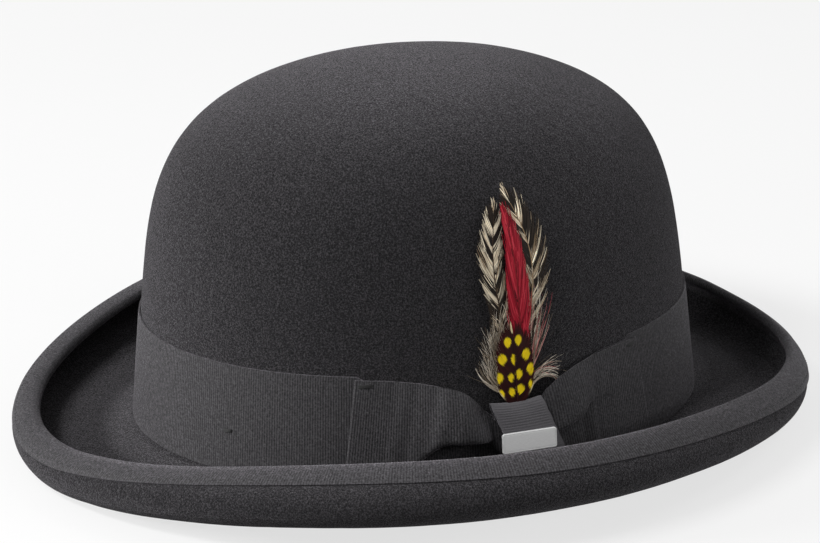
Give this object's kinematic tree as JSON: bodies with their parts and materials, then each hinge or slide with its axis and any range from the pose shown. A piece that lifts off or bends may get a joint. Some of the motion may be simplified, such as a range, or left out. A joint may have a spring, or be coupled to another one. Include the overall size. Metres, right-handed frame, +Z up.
{
  "type": "bowler hat",
  "caption": "Stiff felt bowler hat with a domed crown, curled bound brim, ribbon band with a flat bow and a feather mount tucked behind it.",
  "frame": {"origin": "on the table that the hat stands on, under the middle of the hat seen from above", "axes": "+Z up along the crown, -Y to the front of the hat, +X to the wearer's left, where the bow is"},
  "size_m": [0.2778, 0.2996, 0.138],
  "materials": {
    "wool_felt": "matt brushed wool felt, charcoal",
    "grosgrain_ribbon": "ribbed ribbon with a soft sheen, charcoal",
    "sewing_thread": "dark polyester thread",
    "satin_lining": "black satin",
    "sweatband_leather": "smooth dark brown leather",
    "reed_plastic": "plain strip",
    "plate_metal": "satin silver",
    "barred_plumage": "barred brown and cream barbs",
    "red_plumage": "dyed red barbs",
    "spotted_plumage": "dark maroon barbs with yellow spots",
    "downy_plumage": "loose grey brown down",
    "quill": "pale horn"
  },
  "bodies": {
    "hat": {"felt_body": "wool_felt", "brim_binding": "grosgrain_ribbon", "hat_band": "grosgrain_ribbon", "bow_loop": "grosgrain_ribbon", "bow_knot": "grosgrain_ribbon", "knot_plate": "plate_metal", "front_loop_tack": "sewing_thread", "back_loop_tack": "sewing_thread", "band_tack": "sewing_thread", "sweatband": "sweatband_leather", "sweatband_reed": "reed_plastic", "sweatband_seam_tape": "grosgrain_ribbon", "sweatband_bow": "grosgrain_ribbon", "lining_side": "satin_lining", "lining_tip": "satin_lining"},
    "feather": {"feather_stem": "quill", "feather_wrap": "sewing_thread", "fluff_front": "downy_plumage", "fluff_back": "downy_plumage", "barred_feather_front": "barred_plumage", "barred_feather_back": "barred_plumage", "red_feather": "red_plumage", "spotted_feather": "spotted_plumage"}
  },
  "joints": [
    {"name": "feather_lift", "type": "slide", "parent": "hat", "child": "feather", "axis": [-0.0816, -0.0097, 0.9966], "range_m": [0, 0.021]}
  ]
}
